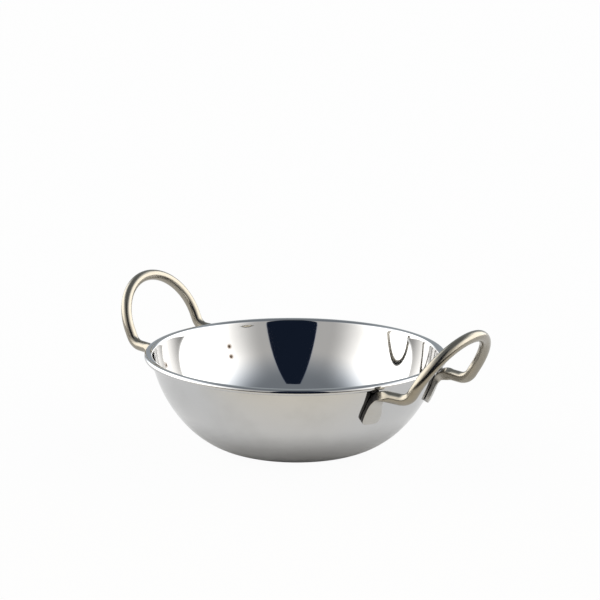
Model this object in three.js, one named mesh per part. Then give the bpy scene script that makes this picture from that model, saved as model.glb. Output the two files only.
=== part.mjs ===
// Balti dish: a pressed and polished steel bowl with a rolled lip, carried by two loop handles.
// Each handle is one bent rod whose ends are hammered flat and spot-welded to the bowl wall.
// Millimetres, +Z up. The origin is the middle of the flat base, and the handles lie along X.
import * as THREE from 'three';

// Bowl
const RIM_DIAMETER = 150;      // over the rolled lip
const DISH_HEIGHT = 46.5;      // from the table to the top of the lip
const BASE_DIAMETER = 68;      // flat that the dish stands on
const SHEET = 0.8;             // steel sheet
const BASE_SWEEP = 10.6;       // how far the curve off the base keeps low before it climbs
const WALL_SWEEP = 29.2;       // how far the upper wall keeps its flare going down
const WALL_FLARE = 10.4;       // degrees that the wall leans out under the lip
const LIP_BEND = 1.4;          // middle radius where the wall turns out into the lip
const LIP_FLAT = 0.9;          // flat on top of the lip
const CURL_RADIUS = 1.05;      // middle radius of the rolled edge
const CURL_TURN = 205;         // degrees that the edge is rolled, from lying flat

// Handles
const ROD_DIAMETER = 5.4;
const HANDLE_SPAN = 51.4;      // between the axes of the two legs
const HANDLE_REACH = 9;        // from the rim out to the corner where the rod turns up
const LEG_LENGTH = 7.5;        // from that corner up to where the arch springs
const FOOT_BEND = 7;           // radius of the bend that turns the rod up
const UNDER_LIP = 2.2;         // from the lip's underside down to the rod's axis, where it comes out
const NECK_DROP = 5.5;         // from the corner under the lip down to the top of the flat
const RIGHT_LEAN = 32;         // degrees off upright; the handles are bent by hand and differ
const LEFT_LEAN = 24.9;
const RIGHT_FOOT_DROP = 0.8;   // how far the rod falls on its way out from under the lip
const LEFT_FOOT_DROP = -0.8;

// Flattened rod ends
const PADDLE_LENGTH = 9.5;     // flat that lies on the wall, below the neck
const PADDLE_WIDTH = 10;
const PADDLE_THICKNESS = 1.9;
const TIP_CORNER = 2.2;        // radius of the corners at the cut end
const NARROWING_BELOW = 3.5;   // where the flat starts to narrow, below the neck bend
const SWELL_BEFORE = 8.5;      // where the flat starts to thicken, before the end of the neck bend
const EDGE_BEFORE = 3.5;       // where its edges start to round off, before the end of the neck bend
const ROUND_BEYOND = 0.5;      // where the rod is fully round, beyond the neck bend

// Spot welds, two on each flattened end
const WELD_DIAMETER = 3.6;
const WELD_THICKNESS = 0.2;
const WELD_FROM_TIP = 2.1;
const WELD_PITCH = 5.5;
const SEAT_GAP = 0.25;         // clearance between pieces that touch

// Facets
const BOWL_SEGMENTS = 64;
const ROD_SIDES = 16;
const WELD_SEGMENTS = 16;

const radians = THREE.MathUtils.degToRad;
const plain = (x, y) => new THREE.Vector2(x, y);
const point = (x, y, z) => new THREE.Vector3(x, y, z);
const rimRadius = RIM_DIAMETER / 2;

// Middle line of the sheet, from the base to the end of the curl
const flare = radians(WALL_FLARE);
const curlCentre = plain(rimRadius - SHEET / 2 - CURL_RADIUS, DISH_HEIGHT - SHEET / 2 - CURL_RADIUS);
const bendCentre = plain(curlCentre.x - LIP_FLAT, DISH_HEIGHT - SHEET / 2 - LIP_BEND);
const wallTop = plain(
  bendCentre.x - LIP_BEND * Math.cos(flare),
  bendCentre.y + LIP_BEND * Math.sin(flare),
);
const wallLine = new THREE.CubicBezierCurve(
  plain(BASE_DIAMETER / 2, SHEET / 2),
  plain(BASE_DIAMETER / 2 + BASE_SWEEP, SHEET / 2),
  plain(wallTop.x - WALL_SWEEP * Math.sin(flare), wallTop.y - WALL_SWEEP * Math.cos(flare)),
  wallTop,
);

function station(at, direction) {
  // a place on the sheet's middle line, with its face towards the inside of the dish
  return { at, inward: plain(-direction.y, direction.x) };
}

function arcStations(centre, radius, from, to, steps) {
  // clockwise turn about a centre, in degrees, without its first point
  return Array.from({ length: steps }, (_, index) => {
    const angle = radians(from + (to - from) * (index + 1) / steps);
    const outward = plain(Math.cos(angle), Math.sin(angle));
    return station(centre.clone().addScaledVector(outward, radius), plain(outward.y, -outward.x));
  });
}

function sheetStations() {
  const WALL_STEPS = 11;
  const level = plain(1, 0);
  const wall = Array.from({ length: WALL_STEPS + 1 }, (_, index) => {
    const share = index / WALL_STEPS;
    return station(wallLine.getPointAt(share), wallLine.getTangentAt(share));
  });
  const bend = arcStations(bendCentre, LIP_BEND, 180 - WALL_FLARE, 90, 3);
  const flat = station(plain(curlCentre.x, curlCentre.y + CURL_RADIUS), level);
  const curl = arcStations(curlCentre, CURL_RADIUS, 90, 90 - CURL_TURN, 6);
  return [station(plain(0, SHEET / 2), level), ...wall, ...bend, flat, ...curl];
}

function bowlGeometry() {
  // both faces of the sheet, half its thickness off the middle line, spun about the axis
  const stations = sheetStations();
  const face = (offset) => stations.map(({ at, inward }) => at.clone().addScaledVector(inward, offset));
  const profile = [...face(-SHEET / 2), ...face(SHEET / 2).reverse()];
  return new THREE.LatheGeometry(profile, BOWL_SEGMENTS).rotateX(Math.PI / 2);
}

// Where the handle meets the wall
const lipUnderside = curlCentre.y - CURL_RADIUS - SHEET / 2;
const neckHeight = lipUnderside - UNDER_LIP;
const paddleSeat = SEAT_GAP + WELD_THICKNESS + SEAT_GAP;

function wallShareAt(height) {
  // share of the wall line's length at a height, by halving
  let low = 0;
  let high = 1;
  for (let round = 0; round < 40; round += 1) {
    const middle = (low + high) / 2;
    if (wallLine.getPointAt(middle).y < height) low = middle;
    else high = middle;
  }
  return low;
}

const neckShare = wallShareAt(neckHeight - NECK_DROP);
const neckRadius = wallLine.getPointAt(neckShare).x;
const paddleAngle = Math.asin(HANDLE_SPAN / 2 / neckRadius);
const radial = point(Math.cos(paddleAngle), Math.sin(paddleAngle), 0);
const tangential = point(-Math.sin(paddleAngle), Math.cos(paddleAngle), 0);

function wallPlace(belowNeck, standOff) {
  // a point off the outer wall on the paddle's line, with the wall's direction and normal there
  const share = neckShare - belowNeck / wallLine.getLength();
  const middle = wallLine.getPointAt(share);
  const up = wallLine.getTangentAt(share);
  const out = plain(up.y, -up.x);
  const at = middle.addScaledVector(out, SHEET / 2 + standOff);
  return {
    at: radial.clone().multiplyScalar(at.x).setZ(at.y),
    up: radial.clone().multiplyScalar(up.x).setZ(up.y),
    out: radial.clone().multiplyScalar(out.x).setZ(out.y),
  };
}

// Half of the handle's centre line, from the tip of a paddle to the crown of the arch
function bendBetween(corner, from, to, tangentLength, steps) {
  // points and directions round a bend between two straight runs
  const turn = from.angleTo(to);
  const radius = tangentLength / Math.tan(turn / 2);
  const inner = to.clone().addScaledVector(from, -from.dot(to)).normalize();
  const start = corner.clone().addScaledVector(from, -tangentLength);
  return Array.from({ length: steps + 1 }, (_, index) => {
    const angle = turn * index / steps;
    return {
      at: start.clone().addScaledVector(from, radius * Math.sin(angle))
        .addScaledVector(inner, radius * (1 - Math.cos(angle))),
      along: from.clone().multiplyScalar(Math.cos(angle)).addScaledVector(inner, Math.sin(angle)),
    };
  });
}

function straightPlaces(from, to, along) {
  // places on the straight run between two bends
  const RUN_STEPS = 3;
  return Array.from({ length: RUN_STEPS }, (_, index) => (
    { at: from.clone().lerp(to, (index + 1) / (RUN_STEPS + 1)), along }
  ));
}

function handleLine(lean, footDrop) {
  const standOff = paddleSeat + PADDLE_THICKNESS / 2;
  const archRadius = HANDLE_SPAN / 2;
  const tip = [0, 25, 45, 67, 90].map((angle) => TIP_CORNER * (1 - Math.cos(radians(angle))));
  const PADDLE_STEPS = 6;
  const rest = Array.from({ length: PADDLE_STEPS }, (_, index) => (
    TIP_CORNER + (PADDLE_LENGTH - TIP_CORNER) * (index + 1) / PADDLE_STEPS
  ));
  const paddle = [...tip, ...rest].slice(0, -1).map((fromTip) => {
    const { at, up } = wallPlace(PADDLE_LENGTH - fromTip, standOff);
    return { at, along: up };
  });

  const neck = wallPlace(0, standOff);
  const climb = (neckHeight - neck.at.z) / neck.up.z;
  const neckCorner = neck.at.clone().addScaledVector(neck.up, climb);
  const footCorner = point(rimRadius + HANDLE_REACH, archRadius, neckHeight - footDrop);
  const run = footCorner.clone().sub(neckCorner).normalize();
  const rise = point(Math.sin(lean), 0, Math.cos(lean));
  const footTangent = Math.min(FOOT_BEND * Math.tan(run.angleTo(rise) / 2), LEG_LENGTH);

  const springing = footCorner.clone().addScaledVector(rise, LEG_LENGTH);
  const archCentre = springing.clone().setY(0);
  const ARCH_STEPS = 9;
  const arch = Array.from({ length: ARCH_STEPS + 1 }, (_, index) => {
    const angle = Math.PI / 2 * index / ARCH_STEPS;
    return {
      at: archCentre.clone().add(point(0, archRadius * Math.cos(angle), 0))
        .addScaledVector(rise, archRadius * Math.sin(angle)),
      along: rise.clone().multiplyScalar(Math.cos(angle)).setY(-Math.sin(angle)),
    };
  });
  const neckBend = bendBetween(neckCorner, neck.up, run, climb, 9);
  const footBend = bendBetween(footCorner, run, rise, footTangent, 6);
  const straight = straightPlaces(neckBend.at(-1).at, footBend[0].at, run);
  const neckTurn = neck.up.angleTo(run);
  const bendEnd = PADDLE_LENGTH + climb / Math.tan(neckTurn / 2) * neckTurn;
  return { places: [...paddle, ...neckBend, ...straight, ...footBend, ...arch], bendEnd };
}

const smooth = (from, to, value) => THREE.MathUtils.smoothstep(value, from, to);
const blend = THREE.MathUtils.lerp;

function sectionAt(fromTip, bendEnd) {
  // hammered flat at the tip, narrowing round the neck, then swelling to the full round rod
  const narrowing = smooth(PADDLE_LENGTH - NARROWING_BELOW, bendEnd, fromTip);
  const swell = smooth(bendEnd - SWELL_BEFORE, bendEnd, fromTip);
  const easing = smooth(bendEnd - EDGE_BEFORE, bendEnd + ROUND_BEYOND, fromTip);
  const intoCorner = Math.max(0, TIP_CORNER - fromTip);
  const cornerCut = TIP_CORNER - Math.sqrt(TIP_CORNER ** 2 - intoCorner ** 2);
  const FLAT_SQUARENESS = 4.5;
  const ROUND_SQUARENESS = 2;
  return {
    width: blend(PADDLE_WIDTH, ROD_DIAMETER, narrowing) - 2 * cornerCut,
    thickness: blend(PADDLE_THICKNESS, ROD_DIAMETER, swell),
    squareness: blend(FLAT_SQUARENESS, ROUND_SQUARENESS, easing),
  };
}

function sectionRing({ at }, across, through, { width, thickness, squareness }) {
  const signedPower = (value) => Math.sign(value) * Math.abs(value) ** (2 / squareness);
  return Array.from({ length: ROD_SIDES }, (_, side) => {
    const angle = Math.PI * 2 * side / ROD_SIDES;
    return at.clone()
      .addScaledVector(across, width / 2 * signedPower(Math.cos(angle)))
      .addScaledVector(through, thickness / 2 * signedPower(Math.sin(angle)));
  });
}

function handleRings(lean, footDrop) {
  // sections carried along half of the centre line without twisting, then mirrored
  const { places, bendEnd } = handleLine(lean, footDrop);
  const across = tangential.clone();
  const half = [];
  let fromTip = 0;
  places.forEach((place, index) => {
    if (index > 0) fromTip += place.at.distanceTo(places[index - 1].at);
    across.addScaledVector(place.along, -across.dot(place.along)).normalize();
    const through = across.clone().cross(place.along);
    half.push(sectionRing(place, across, through, sectionAt(fromTip, bendEnd)));
  });
  const mirrored = half.slice(0, -1).reverse()
    .map((ring) => ring.map((corner) => corner.clone().setY(-corner.y)));
  return [...half, ...mirrored];
}

function loftGeometry(rings) {
  // closed skin over a row of rings, with a fan on each end
  const corners = rings.flat();
  const faces = [];
  for (let row = 0; row + 1 < rings.length; row += 1) {
    for (let side = 0; side < ROD_SIDES; side += 1) {
      const next = (side + 1) % ROD_SIDES;
      const here = row * ROD_SIDES;
      const ahead = here + ROD_SIDES;
      faces.push(here + side, ahead + side, here + next);
      faces.push(here + next, ahead + side, ahead + next);
    }
  }
  [0, rings.length - 1].forEach((row) => {
    const middle = corners.length;
    corners.push(rings[row].reduce((sum, corner) => sum.add(corner), point(0, 0, 0)).divideScalar(ROD_SIDES));
    for (let side = 0; side < ROD_SIDES; side += 1) {
      const here = row * ROD_SIDES + side;
      const next = row * ROD_SIDES + (side + 1) % ROD_SIDES;
      faces.push(...(row === 0 ? [middle, here, next] : [middle, next, here]));
    }
  });
  return new THREE.BufferGeometry().setFromPoints(corners).setIndex(faces);
}

function weldGeometry() {
  // a thin lens of fused metal between paddle and wall
  const radius = WELD_DIAMETER / 2;
  const half = WELD_THICKNESS / 2;
  const flat = radius - half;
  const profile = [plain(0, -half), plain(flat, -half), plain(radius, 0), plain(flat, half), plain(0, half)];
  return new THREE.LatheGeometry(profile, WELD_SEGMENTS);
}

function steel(color, roughness) {
  return new THREE.MeshStandardMaterial({ color, roughness, metalness: 1 });
}

function named(name, geometry, material) {
  const mesh = new THREE.Mesh(geometry, material);
  mesh.name = name;
  return mesh;
}

function handleGroup(sideName, lean, footDrop, turn, ends) {
  // a handle and its welds, made for the +X side and turned about the dish's axis
  const group = new THREE.Group();
  group.rotation.z = turn;
  const rod = loftGeometry(handleRings(radians(lean), footDrop));
  group.add(named(`${sideName}_handle`, rod, steel(0xb5ab98, 0.2)));
  const heights = { lower: PADDLE_LENGTH - WELD_FROM_TIP, upper: PADDLE_LENGTH - WELD_FROM_TIP - WELD_PITCH };
  Object.entries(ends).forEach(([end, side]) => {
    Object.entries(heights).forEach(([height, belowNeck]) => {
      const weld = named(`${sideName}_${end}_${height}_weld`, weldGeometry(), steel(0x8f877c, 0.55));
      const { at, out } = wallPlace(belowNeck, SEAT_GAP + WELD_THICKNESS / 2);
      const mirror = point(1, side, 1);
      weld.position.copy(at.multiply(mirror));
      weld.quaternion.setFromUnitVectors(point(0, 1, 0), out.multiply(mirror));
      group.add(weld);
    });
  });
  return group;
}

const dish = new THREE.Group();
dish.name = 'balti_dish';
dish.add(named('bowl', bowlGeometry(), steel(0xd9dade, 0.08)));
dish.add(handleGroup('right', RIGHT_LEAN, RIGHT_FOOT_DROP, 0, { back: 1, front: -1 }));
dish.add(handleGroup('left', LEFT_LEAN, LEFT_FOOT_DROP, Math.PI, { back: -1, front: 1 }));

export default dish;
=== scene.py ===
# %% [markdown]
# A polished steel balti dish, dressed in Blender around its packed construction model.
# The construction model is loaded first and stays fixed: every piece made below sits in its frame, in
# metres, with the dish standing on the origin and its two handles along X. Keeping one frame for all
# the tools means that nothing has to be fitted by eye afterwards.

# %% Load the frame
import bmesh
import bpy
import math
import numpy as np
from mathutils import Matrix, Vector


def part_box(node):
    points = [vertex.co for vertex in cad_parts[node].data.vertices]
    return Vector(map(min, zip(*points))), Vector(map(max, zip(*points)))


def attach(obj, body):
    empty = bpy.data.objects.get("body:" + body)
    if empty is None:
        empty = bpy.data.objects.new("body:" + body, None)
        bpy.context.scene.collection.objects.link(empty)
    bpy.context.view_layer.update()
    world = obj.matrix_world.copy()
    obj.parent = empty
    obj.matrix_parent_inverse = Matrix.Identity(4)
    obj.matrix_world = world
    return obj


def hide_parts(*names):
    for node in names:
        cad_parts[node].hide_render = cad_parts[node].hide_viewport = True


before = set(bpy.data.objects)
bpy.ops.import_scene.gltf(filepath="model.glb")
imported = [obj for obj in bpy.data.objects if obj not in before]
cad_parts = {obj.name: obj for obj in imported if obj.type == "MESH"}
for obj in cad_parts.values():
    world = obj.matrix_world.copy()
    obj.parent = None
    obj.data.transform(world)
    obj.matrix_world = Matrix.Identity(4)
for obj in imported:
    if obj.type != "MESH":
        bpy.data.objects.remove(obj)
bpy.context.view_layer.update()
scene = bpy.context.scene
scene.view_settings.view_transform = "Standard"
MM = 0.001
print("construction nodes:", len(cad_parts))

# %% [markdown]
# The camera looks down a little from the front right. Its place was fitted to the edges of the rim and
# the middle lines of the handles: how flat the rim's ellipse is gives the height, and how much larger
# the near things look than the far ones gives the distance. A camera can be framed by shifting its
# sensor or by turning it. Turning is used here, because a shift would stay behind and spoil the framing
# when somebody looks at the dish from another side.

# %% Camera
CAMERA_AZIMUTH = math.radians(36.87)
CAMERA_ELEVATION = math.radians(13.88)
CAMERA_DISTANCE = 862 * MM
CAMERA_ROLL = math.radians(0.43)
FRAME_PIXELS = 600
FOCAL_PIXELS = 1736
RIM_CENTRE_PIXEL = (296.05, 350.83)
SENSOR_WIDTH = 36

bowl_low, bowl_high = (Vector(corner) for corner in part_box("bowl"))
rim_radius = (bowl_high.x - bowl_low.x) / 2
dish_height = bowl_high.z
rim_centre = Vector((0, 0, dish_height))

to_camera = Vector((
    math.sin(CAMERA_AZIMUTH) * math.cos(CAMERA_ELEVATION),
    -math.cos(CAMERA_AZIMUTH) * math.cos(CAMERA_ELEVATION),
    math.sin(CAMERA_ELEVATION),
))
level_right = Vector((math.cos(CAMERA_AZIMUTH), math.sin(CAMERA_AZIMUTH), 0))
level_front = Vector((math.sin(CAMERA_AZIMUTH), -math.cos(CAMERA_AZIMUTH), 0))
level_up = to_camera.cross(level_right)
pixels_left = FRAME_PIXELS / 2 - RIM_CENTRE_PIXEL[0]
pixels_below = RIM_CENTRE_PIXEL[1] - FRAME_PIXELS / 2
aim = (-to_camera * FOCAL_PIXELS + level_right * pixels_left + level_up * pixels_below).normalized()
camera_right = level_right * math.cos(CAMERA_ROLL) + level_up * math.sin(CAMERA_ROLL)
camera_up = camera_right.cross(aim).normalized()
camera_right = aim.cross(camera_up)

camera_data = bpy.data.cameras.new("photo_camera")
camera_data.sensor_width = SENSOR_WIDTH
camera_data.lens = FOCAL_PIXELS / FRAME_PIXELS * SENSOR_WIDTH
camera = bpy.data.objects.new("photo_camera", camera_data)
camera_turn = Matrix((camera_right, camera_up, -aim)).transposed().to_4x4()
camera.matrix_world = Matrix.Translation(rim_centre + to_camera * CAMERA_DISTANCE) @ camera_turn
scene.collection.objects.link(camera)
scene.camera = camera
print("rim radius", round(rim_radius, 4), "lens", round(camera_data.lens, 1))

# %% [markdown]
# Materials are built from nodes. Adding a node, setting its options and linking its sockets takes many
# lines each time, so these small helpers do it in one call: a socket gets either a plain value or the
# output of another node. The sums have short names of their own, because most finishes are sums.

# %% Node helpers
def add_node(tree, kind, sockets=None, **options):
    made = tree.nodes.new(kind)
    for option, value in options.items():
        setattr(made, option, value)
    for socket, value in (sockets or {}).items():
        if isinstance(value, bpy.types.NodeSocket):
            tree.links.new(value, made.inputs[socket])
        else:
            made.inputs[socket].default_value = value
    return made


def calculate(tree, operation, first, second=0.0):
    return add_node(tree, "ShaderNodeMath", {0: first, 1: second}, operation=operation).outputs[0]


def plus(tree, first, second):
    return calculate(tree, "ADD", first, second)


def minus(tree, first, second):
    return calculate(tree, "SUBTRACT", first, second)


def times(tree, first, second):
    return calculate(tree, "MULTIPLY", first, second)


def fade(tree, value, start, end, low=0.0, high=1.0):
    """Runs smoothly from low to high while the value runs from start to end."""
    sockets = {"Value": value, "From Min": start, "From Max": end, "To Min": low, "To Max": high}
    return add_node(tree, "ShaderNodeMapRange", sockets, interpolation_type="SMOOTHSTEP").outputs[0]


def mix_colours(tree, share, first, second):
    sockets = {0: share, 6: first, 7: second}
    return add_node(tree, "ShaderNodeMix", sockets, data_type="RGBA").outputs[2]


def mix_shaders(tree, share, first, second):
    return add_node(tree, "ShaderNodeMixShader", {0: share, 1: first, 2: second}).outputs[0]


def dot(tree, vector, direction):
    sockets = {0: vector, 1: direction}
    return add_node(tree, "ShaderNodeVectorMath", sockets, operation="DOT_PRODUCT").outputs["Value"]


def noise(tree, vector, scale, detail):
    sockets = {"Vector": vector, "Scale": scale, "Detail": detail}
    return add_node(tree, "ShaderNodeTexNoise", sockets).outputs["Fac"]


def new_material(name):
    material = bpy.data.materials.new(name)
    material.use_nodes = True
    material.node_tree.nodes.clear()
    return material, material.node_tree


def finish_metal(tree, metallic, colour, roughness, height, strength, depth):
    """Ends a material in one metal shader, with its fine relief as a bump."""
    bump = add_node(tree, "ShaderNodeBump", {"Strength": strength, "Distance": depth, "Height": height})
    metal = add_node(tree, "ShaderNodeBsdfPrincipled", {
        "Metallic": metallic, "Base Color": colour, "Roughness": roughness, "Normal": bump.outputs[0]})
    add_node(tree, "ShaderNodeOutputMaterial", {"Surface": metal.outputs[0]})


# %% [markdown]
# A mirror shows its surroundings, so lighting polished steel means building what it reflects. The dish
# stands in a light tent: walls that glow all round, dim overhead and far behind, with a dark gap where
# the camera looks in. A ring of cards and lamps could make this, but the world can hold it in one smooth
# shape. The camera itself sees plain white, and everything else sees the tent.

# %% Light tent
WHITE = (1, 1, 1, 1)
TENT_WALL = 3.0
TENT_TOP = 0.26
TENT_NEAR_GAP = 0.6
TENT_BACK_SHARE = 0.14
WALL_FADE = (math.radians(30), math.radians(90))
BACK_FADE = (math.radians(134), math.radians(158))
TOP_FADE = (math.sin(math.radians(31)), math.sin(math.radians(65)))
WALL_TINT = (1.0, 0.985, 0.96, 1)
TOP_TINT = (0.82, 0.90, 1.0, 1)
BACK_TINT = (0.85, 0.93, 1.0, 1)
GAP_HALF_WIDTH = 0.42
GAP_TAPER = 0.075
GAP_OFFSET = 0.07
GAP_TOP = 2.5
GAP_SIDE_FADE = (-0.004, 0.012)
GAP_TOP_FADE = (0.0, 0.02)
GAP_GLOW = 0.031
GAP_COLOUR = (0.30, 0.49, 1.0, 1)

world = bpy.data.worlds.new("light_tent")
world.use_nodes = True
scene.world = world
tent = world.node_tree
tent.nodes.clear()
towards = add_node(tent, "ShaderNodeTexCoord").outputs["Generated"]
back = dot(tent, towards, (to_camera.x, to_camera.y, 0))
side = dot(tent, towards, level_right)
rise = dot(tent, towards, (0, 0, 1))
swing = calculate(tent, "ARCTAN2", calculate(tent, "ABSOLUTE", side), back)
wall_glow = fade(tent, swing, *WALL_FADE, TENT_NEAR_GAP, TENT_WALL)
wall_glow = times(tent, wall_glow, fade(tent, swing, *BACK_FADE, 1.0, TENT_BACK_SHARE))
top_share = fade(tent, rise, *TOP_FADE)
wall_part = times(tent, wall_glow, minus(tent, 1.0, top_share))
tent_glow = plus(tent, wall_part, times(tent, top_share, TENT_TOP))

gap_side = calculate(tent, "ABSOLUTE", minus(tent, side, times(tent, back, GAP_OFFSET)))
gap_room = minus(tent, times(tent, back, GAP_HALF_WIDTH), times(tent, rise, GAP_TAPER))
gap_width = fade(tent, minus(tent, gap_room, gap_side), *GAP_SIDE_FADE)
gap_height = fade(tent, minus(tent, times(tent, back, GAP_TOP), rise), *GAP_TOP_FADE)
gap_share = times(tent, gap_width, gap_height)
tent_strength = plus(tent, times(tent, tent_glow, minus(tent, 1.0, gap_share)), GAP_GLOW)
tent_colour = mix_colours(tent, top_share, WALL_TINT, TOP_TINT)
tent_colour = mix_colours(tent, fade(tent, swing, *BACK_FADE), tent_colour, BACK_TINT)
tent_colour = mix_colours(tent, gap_share, tent_colour, GAP_COLOUR)

tent_light = add_node(tent, "ShaderNodeBackground", {"Color": tent_colour, "Strength": tent_strength})
white = add_node(tent, "ShaderNodeBackground", {"Color": WHITE, "Strength": 1.0})
seen = add_node(tent, "ShaderNodeLightPath").outputs["Is Camera Ray"]
chosen = mix_shaders(tent, seen, tent_light.outputs[0], white.outputs[0])
add_node(tent, "ShaderNodeOutputWorld", {"Surface": chosen})
print("tent walls", TENT_WALL, "top", TENT_TOP)

# %% [markdown]
# The floor is a plain white sheet. A white floor under soft light renders a little grey, so for camera
# rays most of it is plain white and only a trace of the dish's shadow is left. What the steel sees in
# its reflections is painted on the floor for mirror rays: a share of plain white glow (painted light),
# warmer towards the front (painted warm light), which fades out round the foot of the dish into a
# painted shadow. A hand's breadth in front of the dish the floor turns dark for mirror rays only, a
# painted dark reflection, and this is what draws the crisp dark lines on the rods and along the edges of
# the flats.

# %% Floor
FLOOR_HALF = 8.0
FLOOR_COLOUR = (0.74, 0.74, 0.735, 1)
# painted warm light: the floor's colour and its mirror glow turn warmer towards the front of the dish
FLOOR_PAINTED_WARM_COLOUR = (0.76, 0.72, 0.64, 1)
GLOW_PAINTED_WARM_COLOUR = (1.0, 0.94, 0.83, 1)
PAINTED_WARM_FADE = (0.04, 0.13)
# painted dark reflection: past this distance in front of the dish, mirror rays see a dark, faintly blue
# floor
PAINTED_DARK_EDGE = 0.155
PAINTED_DARK_BLUR = 0.01
PAINTED_DARK_COLOUR = (0.55, 0.70, 1.0, 1)
PAINTED_DARK_GLOW = 0.015
CAMERA_WHITE = 0.96
# painted light and painted shadow: mirror rays see a share of plain white glow on the floor, which fades
# out round the foot of the dish
PAINTED_MIRROR_GLOW = 0.62
PAINTED_SHADOW_FADE = (0.047, 0.071)

floor_mesh = bpy.data.meshes.new("studio_floor")
corners = [(-FLOOR_HALF, -FLOOR_HALF, 0), (FLOOR_HALF, -FLOOR_HALF, 0),
           (FLOOR_HALF, FLOOR_HALF, 0), (-FLOOR_HALF, FLOOR_HALF, 0)]
floor_mesh.from_pydata(corners, [], [(0, 1, 2, 3)])
floor = bpy.data.objects.new("studio_floor", floor_mesh)
scene.collection.objects.link(floor)
floor_material, tree = new_material("floor_paper")
where = add_node(tree, "ShaderNodeNewGeometry").outputs["Position"]
forward = dot(tree, where, level_front)
from_foot = add_node(tree, "ShaderNodeVectorMath", {0: where}, operation="LENGTH").outputs["Value"]
rays = add_node(tree, "ShaderNodeLightPath").outputs
# painted warm light towards the front, in the floor's colour and in its mirror glow
painted_warm_share = fade(tree, forward, *PAINTED_WARM_FADE)
colour = mix_colours(tree, painted_warm_share, FLOOR_COLOUR, FLOOR_PAINTED_WARM_COLOUR)
painted_glow_colour = mix_colours(tree, painted_warm_share, WHITE, GLOW_PAINTED_WARM_COLOUR)
lit = add_node(tree, "ShaderNodeBsdfDiffuse", {"Color": colour})
painted_mirror_glow = add_node(tree, "ShaderNodeEmission", {"Color": painted_glow_colour, "Strength": 1.0})
painted_dark = add_node(tree, "ShaderNodeEmission", {"Color": PAINTED_DARK_COLOUR, "Strength": PAINTED_DARK_GLOW})
glow = add_node(tree, "ShaderNodeEmission", {"Color": WHITE, "Strength": 1.0})
# painted shadow round the foot of the dish: the mirror glow fades out there
outside_painted_shadow = fade(tree, from_foot, *PAINTED_SHADOW_FADE, 0.0, PAINTED_MIRROR_GLOW)
# painted dark reflection, seen only by mirror rays, beyond the edge in front of the dish
past_painted_dark_edge = fade(tree, forward, PAINTED_DARK_EDGE - PAINTED_DARK_BLUR, PAINTED_DARK_EDGE + PAINTED_DARK_BLUR)
painted_glow_share = times(tree, rays["Is Glossy Ray"], outside_painted_shadow)
painted_dark_share = times(tree, rays["Is Glossy Ray"], past_painted_dark_edge)
camera_share = times(tree, rays["Is Camera Ray"], CAMERA_WHITE)
table = mix_shaders(tree, painted_glow_share, lit.outputs[0], painted_mirror_glow.outputs[0])
table = mix_shaders(tree, painted_dark_share, table, painted_dark.outputs[0])
table = mix_shaders(tree, camera_share, table, glow.outputs[0])
add_node(tree, "ShaderNodeOutputMaterial", {"Surface": table})
floor_mesh.materials.append(floor_material)
print("floor", FLOOR_HALF * 2, "m across")

# %% [markdown]
# The bowl is one disc of sheet steel, pressed into a curve with a flat base, and its edge is rolled
# outwards into a lip. Its section is a single line with a thickness: a base, a wall curve, a tight bend,
# a short flat and a curl. It could be drawn by hand and spun, but a line worked out from a few sizes can
# be sampled as finely as a mirror needs, and the handles can ask it where the wall is.

# %% Section of the bowl
SHEET = 0.8 * MM
BASE_RADIUS = 34 * MM
BASE_SWEEP = 10.6 * MM
WALL_SWEEP = 29.2 * MM
WALL_FLARE = math.radians(10.4)
LIP_BEND = 1.4 * MM
LIP_FLAT = 0.9 * MM
CURL_RADIUS = 1.05 * MM
CURL_TURN = math.radians(205)
BASE_STEPS = 12
WALL_STEPS = 72
BEND_STEPS = 9
CURL_STEPS = 20

curl_centre = np.array([rim_radius - SHEET / 2 - CURL_RADIUS, dish_height - SHEET / 2 - CURL_RADIUS])
bend_centre = np.array([curl_centre[0] - LIP_FLAT, dish_height - SHEET / 2 - LIP_BEND])
flare_up = np.array([math.sin(WALL_FLARE), math.cos(WALL_FLARE)])
wall_top = bend_centre + LIP_BEND * np.array([-math.cos(WALL_FLARE), math.sin(WALL_FLARE)])
wall_poles = np.array([
    (BASE_RADIUS, SHEET / 2),
    (BASE_RADIUS + BASE_SWEEP, SHEET / 2),
    wall_top - WALL_SWEEP * flare_up,
    wall_top,
])


def wall_curve(share):
    """Points and directions of the wall's middle line, for shares from 0 at the base to 1."""
    share = np.asarray(share, dtype=float)[:, None]
    rest = 1 - share
    first, second, third, last = wall_poles
    points = rest**3 * first + 3 * rest**2 * share * second + 3 * rest * share**2 * third + share**3 * last
    ways = rest**2 * (second - first) + 2 * rest * share * (third - second) + share**2 * (last - third)
    return points, ways / np.linalg.norm(ways, axis=1)[:, None]


def turn_about(centre, radius, start, end, steps):
    """Clockwise arc from one angle to another, without its first point."""
    angles = np.linspace(start, end, steps + 1)[1:]
    outward = np.column_stack([np.cos(angles), np.sin(angles)])
    return centre + radius * outward, np.column_stack([outward[:, 1], -outward[:, 0]])


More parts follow.
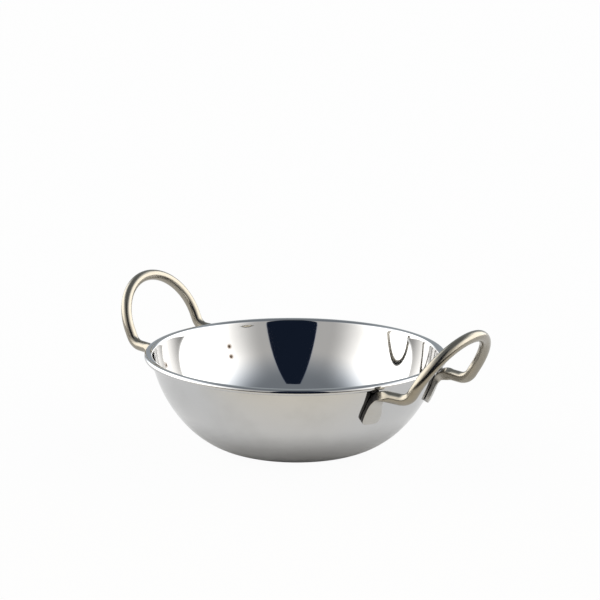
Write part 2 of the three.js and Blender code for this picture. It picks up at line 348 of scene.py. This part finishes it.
base_reach = np.linspace(0, BASE_RADIUS, BASE_STEPS)[:-1]
base_points = np.column_stack([base_reach, np.full(BASE_STEPS - 1, SHEET / 2)])
base_ways = np.tile((1.0, 0.0), (BASE_STEPS - 1, 1))
wall_points, wall_ways = wall_curve(np.linspace(0, 1, WALL_STEPS))
upright = math.pi / 2
bend_points, bend_ways = turn_about(bend_centre, LIP_BEND, math.pi - WALL_FLARE, upright, BEND_STEPS)
flat_points = np.array([curl_centre + (0, CURL_RADIUS)])
flat_ways = np.array([(1.0, 0.0)])
curl_points, curl_ways = turn_about(curl_centre, CURL_RADIUS, upright, upright - CURL_TURN, CURL_STEPS)
middle = np.vstack([base_points, wall_points, bend_points, flat_points, curl_points])
ways = np.vstack([base_ways, wall_ways, bend_ways, flat_ways, curl_ways])
inward = np.column_stack([-ways[:, 1], ways[:, 0]])
outside = middle - inward * SHEET / 2
inside = middle + inward * SHEET / 2
section = np.vstack([outside, inside[::-1]])
print("section points", len(section))

# %% [markdown]
# Spinning the section about the upright axis makes the bowl. The Screw modifier or the spin operator
# would do the same, but joining rings by hand gives clean single points on the axis and an even grid,
# so the reflections run smoothly over the whole wall.

# %% Spin the bowl
BOWL_SEGMENTS = 288


def skin_rings(build, rings):
    """Joins neighbouring rings of points with four-sided faces."""
    for lower, upper in zip(rings, rings[1:]):
        for index in range(len(lower)):
            after = (index + 1) % len(lower)
            build.faces.new((lower[index], lower[after], upper[after], upper[index]))


def spin_section(name, points, segments):
    """Spins a section that starts and ends on the axis into a closed body."""
    build = bmesh.new()
    turns = [(math.cos(angle), math.sin(angle)) for angle in np.linspace(0, math.tau, segments + 1)[:-1]]
    rings = [[build.verts.new((r * c, r * s, z)) for c, s in turns] for r, z in points[1:-1]]
    skin_rings(build, rings)
    for (_, height), ring, turned_over in ((points[0], rings[0], True), (points[-1], rings[-1], False)):
        tip = build.verts.new((0, 0, height))
        for index in range(segments):
            pair = (ring[index], ring[(index + 1) % segments])
            build.faces.new((tip, *pair[::-1]) if turned_over else (tip, *pair))
    bmesh.ops.recalc_face_normals(build, faces=build.faces)
    mesh = bpy.data.meshes.new(name)
    build.to_mesh(mesh)
    build.free()
    mesh.shade_smooth()
    return mesh


def place_piece(name, mesh, material, slot, *nodes):
    """Adds a piece to the scene, riding on the dish in place of its construction nodes."""
    mesh.materials.append(material)
    piece = bpy.data.objects.new(name, mesh)
    scene.collection.objects.link(piece)
    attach(piece, "root")
    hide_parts(*nodes)


bowl_mesh = spin_section("polished_bowl", section, BOWL_SEGMENTS)
print("bowl faces", len(bowl_mesh.polygons))

# %% [markdown]
# Each handle is one bent rod. It climbs off its flattened end, turns out under the lip, turns up again
# and goes over in a half circle. The line is worked out from the same wall curve as the bowl, so the
# flattened end follows the wall. The two handles were bent by hand: one leans out more, and its rod
# falls a little on the way out from under the lip, where the other one climbs.

# %% Centre line of a handle
ROD = 5.4 * MM
HANDLE_SPAN = 51.4 * MM
HANDLE_REACH = 9 * MM
LEG_LENGTH = 7.5 * MM
FOOT_BEND = 7 * MM
UNDER_LIP = 2.2 * MM
NECK_DROP = 5.5 * MM
HANDLE_TURNS = {"right": 0.0, "left": math.pi}
HANDLE_LEANS = {"right": math.radians(32), "left": math.radians(24.9)}
FOOT_DROPS = {"right": 0.8 * MM, "left": -0.8 * MM}
PADDLE_LENGTH = 9.5 * MM
PADDLE_WIDTH = 10 * MM
PADDLE_THICKNESS = 1.9 * MM
TIP_CORNER = 2.2 * MM
SEAT_GAP = 0.25 * MM
WELD_THICKNESS = 0.2 * MM
FINE_STEPS = 1200
TIP_STEPS = 10
PADDLE_STEPS = 34
NECK_STEPS = 26
RUN_STEPS = 10
FOOT_STEPS = 18
ARCH_STEPS = 41

lip_underside = curl_centre[1] - CURL_RADIUS - SHEET / 2
neck_height = lip_underside - UNDER_LIP
paddle_seat = SEAT_GAP + WELD_THICKNESS + SEAT_GAP

fine_points, fine_ways = wall_curve(np.linspace(0, 1, FINE_STEPS))
fine_steps = np.linalg.norm(np.diff(fine_points, axis=0), axis=1)
fine_lengths = np.concatenate([[0], np.cumsum(fine_steps)])
neck_length = float(np.interp(neck_height - NECK_DROP, fine_points[:, 1], fine_lengths))
neck_radius = float(np.interp(neck_length, fine_lengths, fine_points[:, 0]))
paddle_angle = math.asin(HANDLE_SPAN / 2 / neck_radius)
radial = Vector((math.cos(paddle_angle), math.sin(paddle_angle), 0))
tangential = Vector((-math.sin(paddle_angle), math.cos(paddle_angle), 0))


def on_wall(below_neck, stand_off):
    """A point off the wall on the paddle's line, with the wall's upward and outward directions."""
    at_length = neck_length - below_neck
    r, z = (float(np.interp(at_length, fine_lengths, fine_points[:, axis])) for axis in (0, 1))
    up_r, up_z = (float(np.interp(at_length, fine_lengths, fine_ways[:, axis])) for axis in (0, 1))
    reach = SHEET / 2 + stand_off
    place = radial * (r + up_z * reach) + Vector((0, 0, z - up_r * reach))
    return place, radial * up_r + Vector((0, 0, up_z)), radial * up_z + Vector((0, 0, -up_r))


def bend_between(corner, start_way, end_way, tangent, steps):
    """Points and directions round a bend that joins two straight runs."""
    angle = start_way.angle(end_way)
    radius = tangent / math.tan(angle / 2)
    across = (end_way - start_way * start_way.dot(end_way)).normalized()
    start = corner - start_way * tangent
    found = []
    for part in np.linspace(0, angle, steps + 1):
        at = start + start_way * radius * math.sin(part) + across * radius * (1 - math.cos(part))
        found.append((at, start_way * math.cos(part) + across * math.sin(part)))
    return found


def handle_line(lean, foot_drop):
    """Points and directions from a paddle's tip to the crown, and the length where the neck bend ends."""
    stand_off = paddle_seat + PADDLE_THICKNESS / 2
    tip = [TIP_CORNER * (1 - math.cos(angle)) for angle in np.linspace(0, math.pi / 2, TIP_STEPS)]
    flat = list(np.linspace(TIP_CORNER, PADDLE_LENGTH, PADDLE_STEPS)[1:-1])
    line = [on_wall(PADDLE_LENGTH - from_tip, stand_off)[:2] for from_tip in tip + flat]
    neck, neck_up, _ = on_wall(0, stand_off)
    climb = (neck_height - neck.z) / neck_up.z
    neck_corner = neck + neck_up * climb
    arch_radius = HANDLE_SPAN / 2
    foot_corner = Vector((rim_radius + HANDLE_REACH, arch_radius, neck_height - foot_drop))
    run = (foot_corner - neck_corner).normalized()
    leg = Vector((math.sin(lean), 0, math.cos(lean)))
    foot_tangent = FOOT_BEND * math.tan(run.angle(leg) / 2)
    neck_bend = bend_between(neck_corner, neck_up, run, climb, NECK_STEPS)
    foot_bend = bend_between(foot_corner, run, leg, foot_tangent, FOOT_STEPS)
    run_start, run_end = neck_bend[-1][0], foot_bend[0][0]
    straight = [(run_start.lerp(run_end, share), run) for share in np.linspace(0, 1, RUN_STEPS + 2)[1:-1]]
    line += neck_bend + straight + foot_bend
    springing = foot_corner + leg * LEG_LENGTH
    centre = Vector((springing.x, 0, springing.z))
    for angle in np.linspace(0, math.pi / 2, ARCH_STEPS):
        at = centre + Vector((0, arch_radius * math.cos(angle), 0)) + leg * arch_radius * math.sin(angle)
        line.append((at, leg * math.cos(angle) - Vector((0, math.sin(angle), 0))))
    neck_turn = neck_up.angle(run)
    return line, PADDLE_LENGTH + climb / math.tan(neck_turn / 2) * neck_turn


print("paddles stand", round(math.degrees(paddle_angle), 1), "degrees off the handle's middle")

# %% [markdown]
# The rod's section changes along that line: a hammered flat with a square-cut tip narrows towards the
# neck, lies on the wall as it starts to turn out, and swells round the bend to the plain circle.
# Sweeping a curve with a bevel can only scale one fixed section, so the rod is lofted ring by ring. One
# half is made and mirrored. The back of each flat is brought down onto the wall, so that no light slips
# in behind it. Each spot weld also leaves a ring pressed into the flat by the welding electrode, with a
# shallow hollow inside it.

# %% Loft a handle
ROD_SIDES = 56
NARROWING_START = 3 * MM
NARROWING_BEFORE = 3.3 * MM
SWELL_START = 8 * MM
VISIBLE_THICKNESS = 2.35 * MM
EDGE_BEFORE = 5.5 * MM
ROUND_BEYOND = 1.5 * MM
BACK_GAP = 0.1 * MM
FLAT_SQUARENESS = 7.0
ROUND_SQUARENESS = 2.0
WELD_FROM_TIP = 2.1 * MM
WELD_PITCH = 5.5 * MM
ELECTRODE_RADIUS = 1.5 * MM
ELECTRODE_RING = 0.32 * MM
ELECTRODE_DEPTH = 0.2 * MM
ELECTRODE_HOLLOW = 0.05 * MM
SEAM_LOW = 0.1
SEAM_HIGH = 0.9

lower_drop = PADDLE_LENGTH - WELD_FROM_TIP
weld_drops = {"lower": lower_drop, "upper": lower_drop - WELD_PITCH}


def smooth_step(start, end, value):
    share = min(1.0, max(0.0, (value - start) / (end - start)))
    return share * share * (3 - 2 * share)


def rod_section(from_tip, bend_end):
    """Width, thickness and squareness of the rod at a distance from its tip."""
    narrowing = smooth_step(NARROWING_START, bend_end - NARROWING_BEFORE, from_tip)
    swell = smooth_step(SWELL_START, bend_end, from_tip)
    easing = smooth_step(bend_end - EDGE_BEFORE, bend_end + ROUND_BEYOND, from_tip)
    into_corner = max(0.0, TIP_CORNER - from_tip)
    corner_cut = TIP_CORNER - math.sqrt(TIP_CORNER**2 - into_corner**2)
    width = PADDLE_WIDTH + (ROD - PADDLE_WIDTH) * narrowing - 2 * corner_cut
    thickness = VISIBLE_THICKNESS + (ROD - VISIBLE_THICKNESS) * swell
    return width, thickness, FLAT_SQUARENESS + (ROUND_SQUARENESS - FLAT_SQUARENESS) * easing


def press_electrodes(corner):
    """Pushes a point of the paddle's outer face in where an electrode pressed."""
    for drop in weld_drops.values():
        seat, _, out = on_wall(drop, paddle_seat + PADDLE_THICKNESS)
        away = corner - seat
        depth = away.dot(out)
        if abs(depth) > PADDLE_THICKNESS:
            continue
        reach = (away - out * depth).length
        ring = ELECTRODE_DEPTH * math.exp(-((reach - ELECTRODE_RADIUS) / ELECTRODE_RING) ** 2)
        hollow = ELECTRODE_HOLLOW * (1 - smooth_step(0, ELECTRODE_RADIUS, reach))
        corner = corner - out * (ring + hollow)
    return corner


def half_rings(lean, foot_drop):
    """Rings of points from a paddle's tip to the crown, with each ring's distance from the tip."""
    line, bend_end = handle_line(lean, foot_drop)
    wall_point, _, wall_out = on_wall(0, 0)
    across = tangential.copy()
    from_tip = 0.0
    rings = []
    lengths = []
    for index, (at, way) in enumerate(line):
        if index:
            from_tip += (at - line[index - 1][0]).length
        across = (across - way * across.dot(way)).normalized()
        through = across.cross(way)
        width, thickness, squareness = rod_section(from_tip, bend_end)
        off_wall = paddle_seat + PADDLE_THICKNESS / 2
        if from_tip > PADDLE_LENGTH:
            off_wall = max(off_wall, (at - wall_point).dot(wall_out))
        back_depth = min(ROD / 2, off_wall - BACK_GAP)
        face_depth = thickness - back_depth
        on_flat = 1 - smooth_step(PADDLE_LENGTH, bend_end, from_tip)
        ring = []
        for angle in np.linspace(0, math.tau, ROD_SIDES + 1)[:-1]:
            cosine, sine = math.cos(angle), math.sin(angle)
            half_depth = back_depth if sine < 0 else face_depth
            wide = math.copysign(abs(cosine) ** (2 / squareness), cosine) * width / 2
            deep = math.copysign(abs(sine) ** (2 / squareness), sine) * half_depth
            hug = on_flat * wide**2 / (2 * neck_radius)
            corner = at + across * wide + through * (deep - hug)
            if from_tip < PADDLE_LENGTH and sine > 0:
                corner = press_electrodes(corner)
            ring.append(corner)
        rings.append(ring)
        lengths.append(from_tip)
    return rings, lengths


def loft_handle(side_name):
    """Lofts a whole handle, with the turn round and the millimetres along the rod as its UV map."""
    half, lengths = half_rings(HANDLE_LEANS[side_name], FOOT_DROPS[side_name])
    other_half = [[Vector((c.x, -c.y, c.z)) for c in ring] for ring in half[-2::-1]]
    lengths = lengths + lengths[-2::-1]
    build = bmesh.new()
    spot = Matrix.Rotation(HANDLE_TURNS[side_name], 3, "Z")
    rings = [[build.verts.new(spot @ corner) for corner in ring] for ring in half + other_half]
    skin_rings(build, rings)
    for ring in (rings[0], rings[-1]):
        build.faces.new(ring)
    bmesh.ops.recalc_face_normals(build, faces=build.faces)
    places = {}
    for ring, length in zip(rings, lengths):
        for index, vert in enumerate(ring):
            places[vert] = (index / ROD_SIDES, length / MM)
    layer = build.loops.layers.uv.new("rod_map")
    for face in build.faces:
        wraps = any(places[v][0] > SEAM_HIGH for v in face.verts)
        for loop in face.loops:
            around, along = places[loop.vert]
            if wraps and around < SEAM_LOW:
                around += 1
            loop[layer].uv = (around, along)
    mesh = bpy.data.meshes.new(f"{side_name}_rod_handle")
    build.to_mesh(mesh)
    build.free()
    mesh.shade_smooth()
    return mesh


handle_meshes = {side_name: loft_handle(side_name) for side_name in HANDLE_TURNS}
print("handle faces", {side_name: len(mesh.polygons) for side_name, mesh in handle_meshes.items()})

# %% [markdown]
# Polished sheet steel is almost a mirror. What makes it look real is small: smears that soften the shine
# in patches, the faint circles left by the polishing wheel, a gentle unevenness of the pressed sheet
# that bends the reflections, a few specks, and the brown heat marks where the handles were welded from
# outside. All of them are worked out from the place on the bowl, so no image is needed.

# %% Polished steel
STEEL_COLOUR = (0.60, 0.598, 0.595, 1)
STEEL_SMEAR_COLOUR = (0.555, 0.552, 0.545, 1)
HEAT_COLOUR = (0.16, 0.10, 0.06, 1)
SPECK_COLOUR = (0.16, 0.15, 0.14, 1)
WHEEL_SCALE = 2600
SMEAR_SCALE = 38
UNEVEN_SCALE = 26
SPECK_SCALE = 130.0
SPECK_CHANCE = 0.93
SPECK_FADE = (0.02, 0.05)
SPECK_SHARE = 0.6
HEAT_FADE = (0.6 * MM, 2.0 * MM)
HEAT_SHARE = 0.75
SMEAR_FADE = (0.45, 0.75)
DULL_FADE = (0.35, 0.75)
DULL_ROUGHNESS = (0.02, 0.06)
WHEEL_ROUGHNESS = 0.02
HEAT_ROUGHNESS = 0.25
WHEEL_HEIGHT = 0.004
STEEL_BUMP = 0.35
STEEL_BUMP_DEPTH = 0.12 * MM

bowl_material, tree = new_material("polished_steel")
place = add_node(tree, "ShaderNodeTexCoord").outputs["Object"]
parts = add_node(tree, "ShaderNodeSeparateXYZ", {0: place}).outputs
squared = plus(tree, times(tree, parts[0], parts[0]), times(tree, parts[1], parts[1]))
radius = calculate(tree, "SQRT", squared)
circles = add_node(tree, "ShaderNodeCombineXYZ", {0: radius, 1: parts[2]}).outputs[0]
wheel_lines = noise(tree, circles, WHEEL_SCALE, detail=3.0)
smears = noise(tree, place, SMEAR_SCALE, detail=4.0)
unevenness = noise(tree, place, UNEVEN_SCALE, detail=1.0)

folded = add_node(tree, "ShaderNodeVectorMath", {0: place}, operation="ABSOLUTE").outputs[0]
heat = 0.0
for drop in weld_drops.values():
    mark, _, _ = on_wall(drop, -SHEET)
    distance = add_node(tree, "ShaderNodeVectorMath", {0: folded, 1: mark}, operation="DISTANCE")
    near = fade(tree, distance.outputs["Value"], *HEAT_FADE, 1.0, 0.0)
    heat = calculate(tree, "MAXIMUM", near, heat)

cells = add_node(tree, "ShaderNodeTexVoronoi", {"Vector": place, "Scale": SPECK_SCALE})
chance = add_node(tree, "ShaderNodeSeparateColor", {0: cells.outputs["Color"]}).outputs[0]
chosen_cells = calculate(tree, "GREATER_THAN", chance, SPECK_CHANCE)
speck = times(tree, chosen_cells, fade(tree, cells.outputs["Distance"], *SPECK_FADE, 1.0, 0.0))

colour = mix_colours(tree, fade(tree, smears, *SMEAR_FADE), STEEL_COLOUR, STEEL_SMEAR_COLOUR)
colour = mix_colours(tree, times(tree, heat, HEAT_SHARE), colour, HEAT_COLOUR)
colour = mix_colours(tree, times(tree, speck, SPECK_SHARE), colour, SPECK_COLOUR)
roughness = fade(tree, smears, *DULL_FADE, *DULL_ROUGHNESS)
roughness = plus(tree, roughness, times(tree, wheel_lines, WHEEL_ROUGHNESS))
roughness = plus(tree, roughness, times(tree, heat, HEAT_ROUGHNESS))
height = plus(tree, unevenness, times(tree, wheel_lines, WHEEL_HEIGHT))
finish_metal(tree, 1.0, colour, roughness, height, STEEL_BUMP, STEEL_BUMP_DEPTH)
place_piece("polished_bowl", bowl_mesh, bowl_material, "bowl_steel", "bowl")
print("polished steel nodes", len(tree.nodes))

# %% [markdown]
# The rod was drawn through a die, so it has fine lines along its length, a warmer tone than the bowl and
# a softer shine. The hammered ends are paler and more matt. Their outer flanks and backs are coloured
# near black: painted shade for the shadowed gap between each flat and the wall. The rod's own map gives
# the distance from the tip, which tells the flat from the round, and the turn round the rod, which finds
# the flank. It also stretches the noise into lines along the rod.

# %% Drawn rod
ROD_COLOUR = (0.36, 0.33, 0.275, 1)
ROD_LINE_COLOUR = (0.325, 0.297, 0.243, 1)
FLAT_COLOUR = (0.60, 0.59, 0.565, 1)
# painted shade: the flats' outer flanks and backs are coloured near black for the shadowed gap between
# flat and wall
FLANK_PAINTED_SHADE_COLOUR = (0.022, 0.022, 0.026, 1)
LINE_STRETCH = (60.0, 0.35, 1.0)
LINE_FADE = (0.35, 0.75)
FLAT_FADE = (11.0, 19.0)
FLAT_SHARE = 0.85
FLANK_SHADE_TURN = 0.65
FLANK_SHADE_MIDDLE = 0.5
FLANK_SHADE_SIDE_FADE = (0.20, 0.23)
FLANK_SHADE_END_FADE = (15.5, 18.5)
FLANK_SHADE_SHARE = 0.9
BLOTCH_SCALE = 220
GRAIN_SCALE = 2200
GLOSS_FADE = (0.3, 0.8)
ROUND_ROUGHNESS = (0.19, 0.27)
BLOTCH_FADE = (0.3, 0.7)
FLAT_ROUGHNESS = (0.30, 0.44)
LINE_HEIGHT = 0.02
ROD_BUMP = 0.3
ROD_BUMP_DEPTH = 0.05 * MM

rod_material, tree = new_material("drawn_rod")
rod_map = add_node(tree, "ShaderNodeUVMap", uv_map="rod_map").outputs[0]
stretch = add_node(tree, "ShaderNodeMapping", {"Vector": rod_map, "Scale": LINE_STRETCH}).outputs[0]
lines = noise(tree, stretch, 1.0, detail=4.0)
around, along, _ = add_node(tree, "ShaderNodeSeparateXYZ", {0: rod_map}).outputs
flat_share = fade(tree, along, *FLAT_FADE, 1.0, 0.0)
# mask for the painted shade on the outer flanks and backs of the flats
flank_turn = calculate(tree, "FRACT", plus(tree, around, FLANK_SHADE_TURN))
from_flank = calculate(tree, "ABSOLUTE", minus(tree, flank_turn, FLANK_SHADE_MIDDLE))
on_flank = fade(tree, from_flank, *FLANK_SHADE_SIDE_FADE, 1.0, 0.0)
painted_flank_shade_share = times(tree, on_flank, fade(tree, along, *FLANK_SHADE_END_FADE, 1.0, 0.0))
place = add_node(tree, "ShaderNodeTexCoord").outputs["Object"]
blotches = noise(tree, place, BLOTCH_SCALE, detail=3.0)
grain = noise(tree, place, GRAIN_SCALE, detail=2.0)

colour = mix_colours(tree, fade(tree, lines, *LINE_FADE), ROD_COLOUR, ROD_LINE_COLOUR)
colour = mix_colours(tree, times(tree, flat_share, FLAT_SHARE), colour, FLAT_COLOUR)
# painted shade on the flanks and backs of the flats
colour = mix_colours(tree, times(tree, painted_flank_shade_share, FLANK_SHADE_SHARE), colour, FLANK_PAINTED_SHADE_COLOUR)
round_roughness = fade(tree, lines, *GLOSS_FADE, *ROUND_ROUGHNESS)
flat_roughness = fade(tree, blotches, *BLOTCH_FADE, *FLAT_ROUGHNESS)
round_part = times(tree, round_roughness, minus(tree, 1.0, flat_share))
roughness = plus(tree, times(tree, flat_roughness, flat_share), round_part)
height = plus(tree, times(tree, lines, LINE_HEIGHT), times(tree, grain, flat_share))
finish_metal(tree, 1.0, colour, roughness, height, ROD_BUMP, ROD_BUMP_DEPTH)
for side_name, mesh in handle_meshes.items():
    place_piece(f"{side_name}_rod_handle", mesh, rod_material, "handle_steel", f"{side_name}_handle")
print("drawn rod nodes", len(tree.nodes))

# %% [markdown]
# A spot weld is a lens of metal that melted between the flat and the wall. From inside the dish only its
# heel shows: a small dull dot, slightly raised. Each weld is made as those two bodies in one piece. A
# flattened ball would do from far away, but a spun section keeps a crisp rim on the dot.

# %% Welds
WELD_RADIUS = 1.8 * MM
LENS_GAP = 0.03 * MM
LENS_THICKNESS = 0.04 * MM
DOT_RADIUS = 0.75 * MM
DOT_RISE = 0.10 * MM
WELD_SEGMENTS = 32
EDGE_POINTS = 9
WELD_COLOUR = (0.20, 0.145, 0.10, 1)
WELD_DARK_COLOUR = (0.05, 0.035, 0.025, 1)
SPOT_SCALE = 2600
SPOT_FADE = (0.35, 0.65)
CRUST_FADE = (0.3, 0.7)
WELD_ROUGHNESS = (0.38, 0.62)
WELD_METALLIC = 0.85
WELD_BUMP = 0.5
WELD_BUMP_DEPTH = 0.04 * MM
WELD_ENDS = {"right": {"back": 1, "front": -1}, "left": {"back": -1, "front": 1}}

weld_material, tree = new_material("weld_scale")
place = add_node(tree, "ShaderNodeTexCoord").outputs["Object"]
scale_spots = noise(tree, place, SPOT_SCALE, detail=3.0)
colour = mix_colours(tree, fade(tree, scale_spots, *SPOT_FADE), WELD_COLOUR, WELD_DARK_COLOUR)
roughness = fade(tree, scale_spots, *CRUST_FADE, *WELD_ROUGHNESS)
finish_metal(tree, WELD_METALLIC, colour, roughness, scale_spots, WELD_BUMP, WELD_BUMP_DEPTH)


def lens_section(radius, thickness):
    """Half section of a round lens that stands on its foot, with a rounded edge."""
    angles = np.linspace(-math.pi / 2, math.pi / 2, EDGE_POINTS)
    half = thickness / 2
    rim = np.column_stack([radius - thickness + thickness * np.cos(angles), half + half * np.sin(angles)])
    return np.vstack([(0, 0), rim, (0, thickness)])


def dot_section(radius, rise):
    """Half section of a low dome, sunk a little at its foot."""
    angles = np.linspace(0, math.pi / 2, EDGE_POINTS)
    dome = np.column_stack([radius * np.cos(angles), rise * np.sin(angles)])
    return np.vstack([(0, -rise), (radius, -rise), dome])


def make_weld(name, height_name, mirror, turn):
    """Joins a weld's lens outside the wall and its heel inside into one mesh."""
    lens = spin_section(name, lens_section(WELD_RADIUS, LENS_THICKNESS), WELD_SEGMENTS)
    heel = spin_section(name + "_heel", dot_section(DOT_RADIUS, DOT_RISE), WELD_SEGMENTS)
    build = bmesh.new()
    for part, stand_off, facing in ((lens, LENS_GAP, 1), (heel, -SHEET, -1)):
        at, _, out = on_wall(weld_drops[height_name], stand_off)
        at.y *= mirror
        out.y *= mirror
        spot = Matrix.Rotation(turn, 4, "Z") @ Matrix.Translation(at)
        part.transform(spot @ (out * facing).to_track_quat("Z", "Y").to_matrix().to_4x4())
        build.from_mesh(part)
    bpy.data.meshes.remove(heel)
    build.to_mesh(lens)
    build.free()
    lens.shade_smooth()
    return lens


for side_name, ends in WELD_ENDS.items():
    for end, mirror in ends.items():
        for height_name in weld_drops:
            node_name = f"{side_name}_{end}_{height_name}_weld"
            mesh = make_weld(f"{node_name}_spot", height_name, mirror, HANDLE_TURNS[side_name])
            place_piece(f"{node_name}_spot", mesh, weld_material, "weld_metal", node_name)
print("weld faces", len(mesh.polygons))
